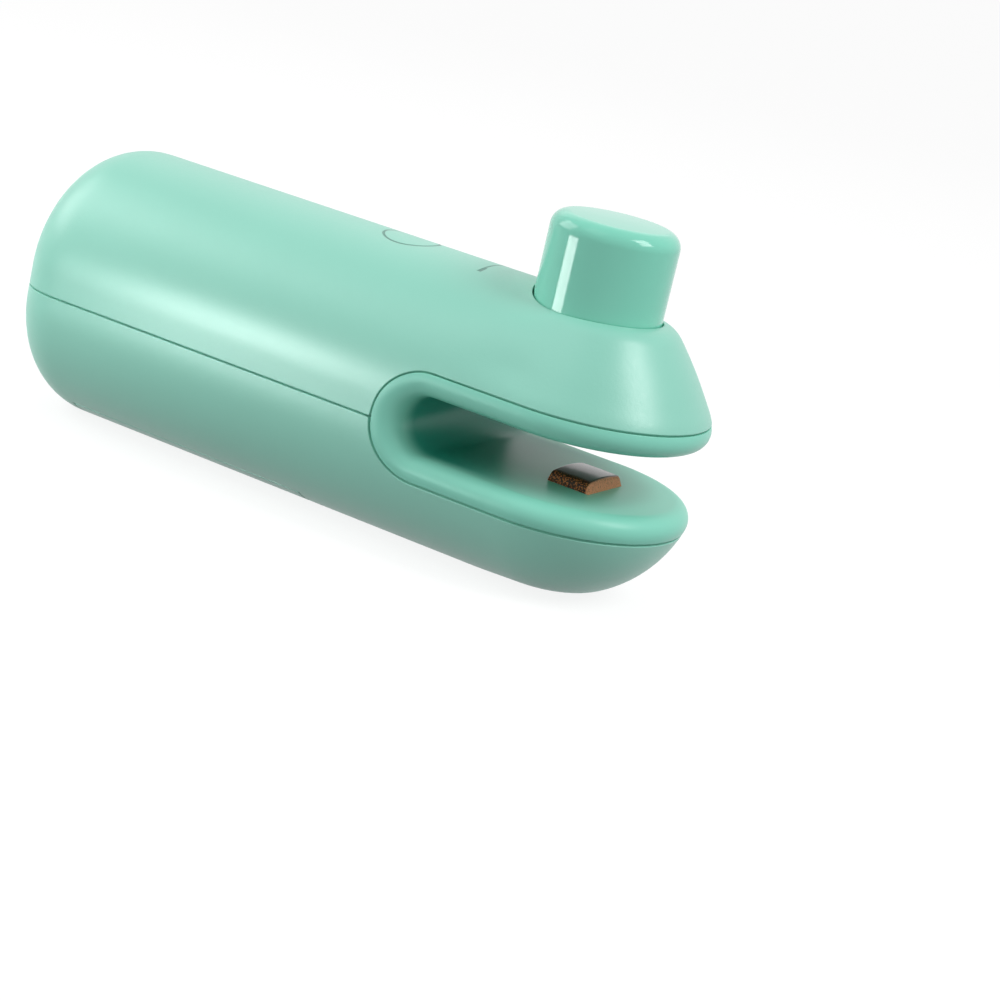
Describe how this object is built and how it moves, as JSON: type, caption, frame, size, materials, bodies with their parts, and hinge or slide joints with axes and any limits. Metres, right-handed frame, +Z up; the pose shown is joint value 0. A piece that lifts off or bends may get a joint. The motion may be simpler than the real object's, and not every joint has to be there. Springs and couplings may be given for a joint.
{
  "type": "handheld bag sealer",
  "caption": "Handheld bag sealer: round split casing with a lined mouth, a press button that drives a padded foot onto a heater, and a battery bay below.",
  "frame": {"origin": "middle of the bounding box, at the height of the flat base", "axes": "+X from the tail to the nose, +Y across the body, +Z up from the base to the button"},
  "size_m": [0.114, 0.04, 0.0558],
  "materials": {
    "casing": "satin, fine spark-eroded grain",
    "liner": "smooth satin",
    "button": "high gloss",
    "inner_plastic": "as moulded",
    "dark_plastic": "as moulded",
    "pad": "silicone, smooth",
    "steel": "bright plated",
    "brass": "rolled strip",
    "carrier": "mica-filled board",
    "ribbon": "rolled resistance strip",
    "cloth": "coated woven glass cloth, semi-gloss",
    "cell": "plain sleeve",
    "wire_red": "insulated wire",
    "wire_dark": "insulated wire"
  },
  "bodies": {
    "housing": {"upper_casing": "casing", "lower_casing": "casing", "mouth_liner": "liner", "return_spring": "steel", "button_guide": "inner_plastic", "guide_screws": "steel", "terminal_block": "dark_plastic", "contact_blade_upper": "brass", "contact_blade_lower": "brass", "heater_carrier": "carrier", "heating_ribbon": "ribbon", "heater_cloth": "cloth", "ribbon_clamps": "brass", "battery_cradle": "inner_plastic", "battery_left": "cell", "battery_right": "cell", "contact_front_left": "steel", "contact_front_right": "steel", "contact_bridge": "steel", "casing_screws": "steel", "wire_heater_to_battery": "wire_red", "wire_heater_to_switch": "wire_dark", "wire_switch_to_battery": "wire_red"},
    "button": {"press_button": "button", "plunger": "inner_plastic", "press_pad": "pad"},
    "door": {"battery_door": "casing"}
  },
  "joints": [
    {"name": "button_press", "type": "slide", "parent": "housing", "child": "button", "axis": [0, 0, -1], "range_m": [0, 0.007], "stiffness_N_per_m": 400, "springref_m": -0.003, "deforming": ["return_spring"]},
    {"name": "door_lift", "type": "slide", "parent": "housing", "child": "door", "axis": [0, 0, -1], "range_m": [0, 0.025]}
  ]
}
